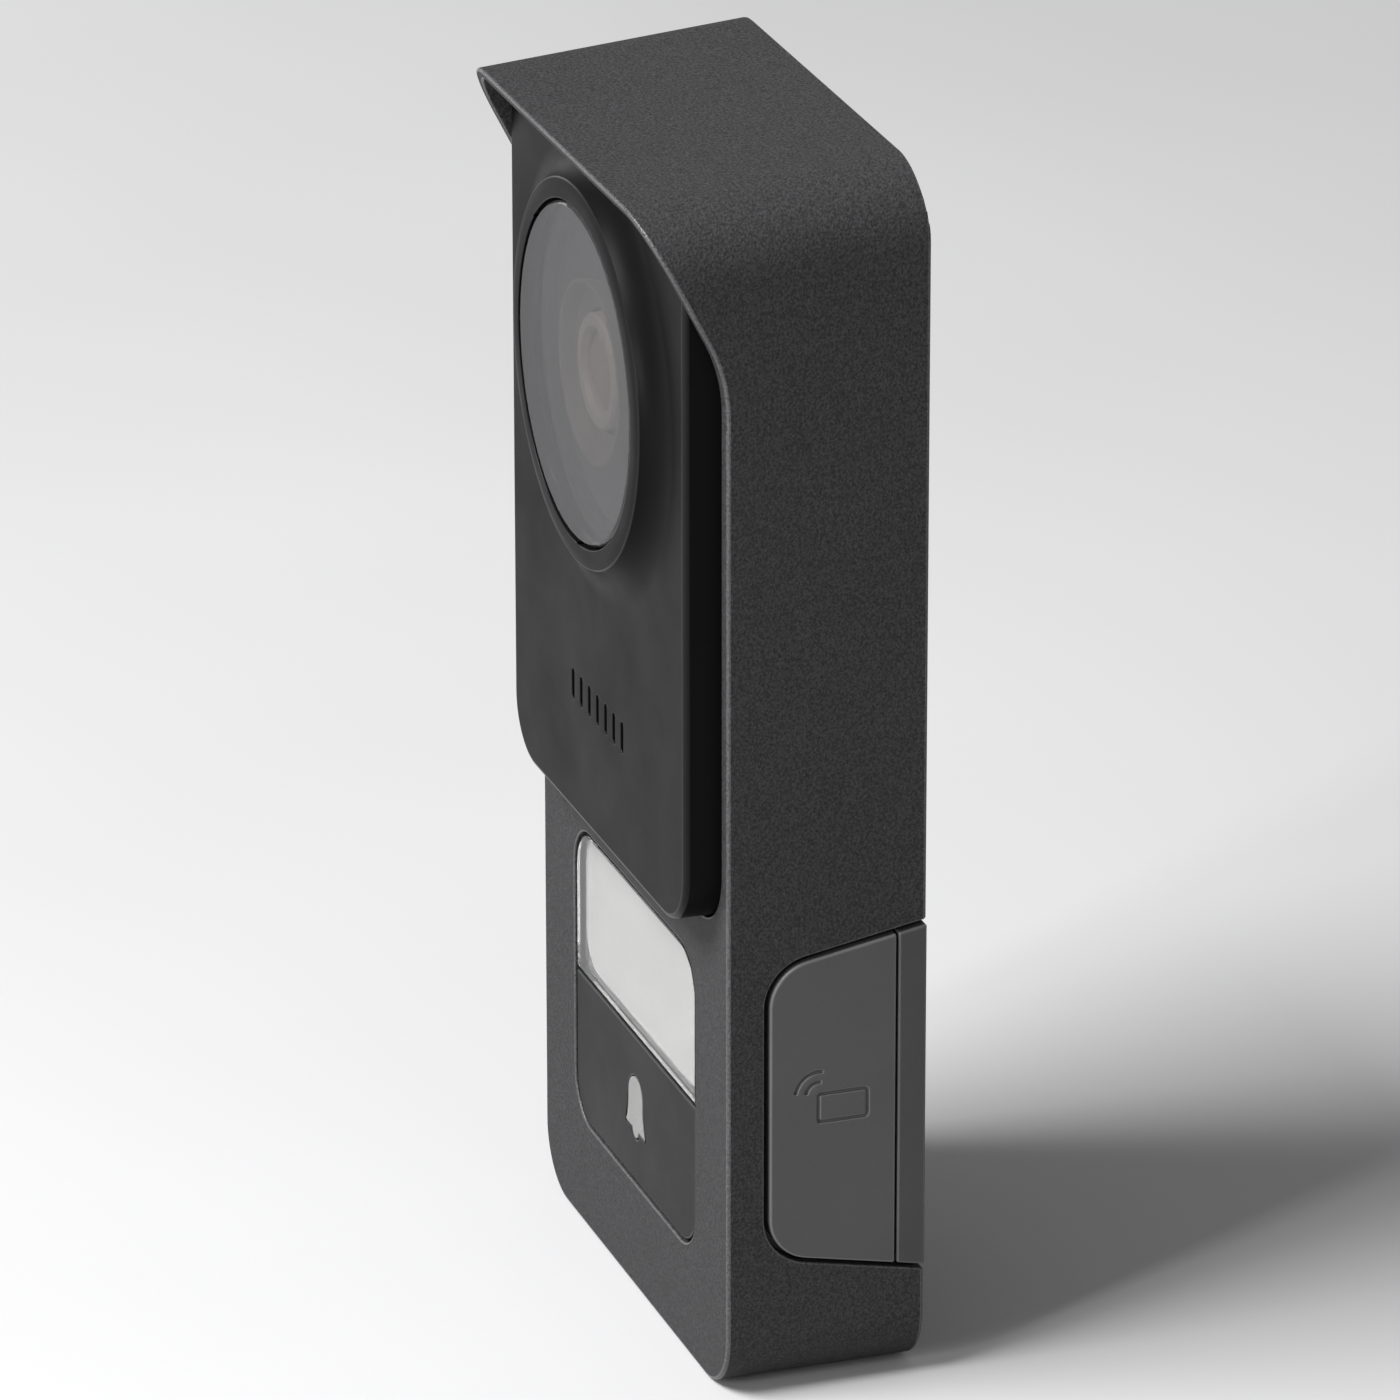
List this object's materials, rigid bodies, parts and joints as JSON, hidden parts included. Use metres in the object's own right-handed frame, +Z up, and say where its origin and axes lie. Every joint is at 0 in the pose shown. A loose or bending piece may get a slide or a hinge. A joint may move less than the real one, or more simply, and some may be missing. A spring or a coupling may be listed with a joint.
{
  "type": "video doorbell",
  "caption": "Wall-hung video doorbell: rain visor, round camera window, sound slots, backlit nameplate, bell call button and side card reader, on a hook-on wall bracket.",
  "frame": {"origin": "on the back of the wall bracket, midway between its sides and 84 mm above the panel's lower edge", "axes": "+Z up, +Y into the wall, +X to the right seen from the street; the front faces -Y"},
  "size_m": [0.077, 0.0394, 0.1699],
  "materials": {
    "powder_coat": "fine textured dark grey powder coat",
    "satin_black": "smooth satin black moulding",
    "inner_plastic": "smooth matt black moulding",
    "black_rubber": "matt black rubber",
    "silicone": "matt grey silicone",
    "smoked_window": "smooth smoked polycarbonate",
    "lens_glass": "coated optical glass",
    "clear_cover": "polished clear plastic",
    "white_card": "plain white card",
    "milky_plastic": "translucent white plastic",
    "green_board": "green solder mask",
    "white_board": "white solder mask",
    "black_plastic": "matt black plastic",
    "green_plastic": "green nylon",
    "blue_plastic": "blue moulding",
    "steel": "zinc plated steel",
    "dark_steel": "black coated steel",
    "tin": "tin plate",
    "copper": "enamelled copper",
    "flex_film": "amber polyimide film",
    "paper_cone": "black pressed paper",
    "led_lens": "dark tinted resin",
    "white_led": "pale yellow resin"
  },
  "bodies": {
    "bracket": {"wall_bracket": "dark_steel", "security_screw": "steel"},
    "unit": {"hood": "powder_coat", "inner_body": "inner_plastic", "rear_casing": "inner_plastic", "body_seal": "silicone", "casing_screw_1": "steel", "casing_screw_2": "steel", "casing_screw_3": "steel", "casing_screw_4": "steel", "camera_fascia": "satin_black", "fascia_seal": "silicone", "lens_window": "smoked_window", "window_gasket": "black_rubber", "window_mask": "smoked_window", "light_baffle": "black_rubber", "lens_barrel": "black_plastic", "front_element": "lens_glass", "lens_holder": "black_plastic", "image_sensor": "led_lens", "camera_board": "green_board", "led_board": "white_board", "ir_led_1": "led_lens", "ir_led_2": "led_lens", "ir_led_3": "led_lens", "ir_led_4": "led_lens", "camera_ribbon": "flex_film", "speaker_gasket": "black_rubber", "speaker_frame": "steel", "speaker_cone": "paper_cone", "speaker_magnet": "dark_steel", "nameplate_cover": "clear_cover", "name_card": "white_card", "nameplate_diffuser": "milky_plastic", "nameplate_led": "white_led", "front_board": "green_board", "call_switch": "black_plastic", "button_led": "white_led", "bell_light_guide": "milky_plastic", "button_seal": "silicone", "main_board": "green_board", "board_connector": "white_card", "terminal_block": "green_plastic", "terminal_screw_1": "steel", "terminal_screw_2": "steel", "terminal_screw_3": "steel", "terminal_screw_4": "steel", "terminal_seal": "black_rubber", "relay": "blue_plastic", "capacitor": "black_plastic", "processor_shield": "tin", "volume_trimmer": "black_plastic", "reader_board": "green_board", "reader_coil": "copper", "microphone_boot": "black_rubber", "microphone": "steel"},
    "button": {"call_button": "inner_plastic", "bell_window": "milky_plastic"},
    "plunger": {"switch_plunger": "white_led"},
    "trimmer": {"volume_rotor": "milky_plastic"}
  },
  "joints": [
    {"name": "unit_tilt", "type": "hinge", "parent": "bracket", "child": "unit", "pos_m": [0, -0.0026, 0.0745], "axis": [-1, 0, 0], "range_deg": [0, 6]},
    {"name": "button_press", "type": "slide", "parent": "unit", "child": "button", "axis": [0, 1, 0], "range_m": [0, 0.0008], "stiffness_N_per_m": 1500, "springref_m": -0.0007},
    {"name": "plunger_press", "type": "slide", "parent": "unit", "child": "plunger", "axis": [0, 1, 0], "range_m": [0, 0.0008]},
    {"name": "volume_turn", "type": "hinge", "parent": "unit", "child": "trimmer", "pos_m": [0.022, -0.0065, 0.002], "axis": [0, 1, 0], "range_deg": [-135, 135]}
  ],
  "couplings": [
    {"joint": "plunger_press", "follows": "button_press", "ratio": 1}
  ]
}
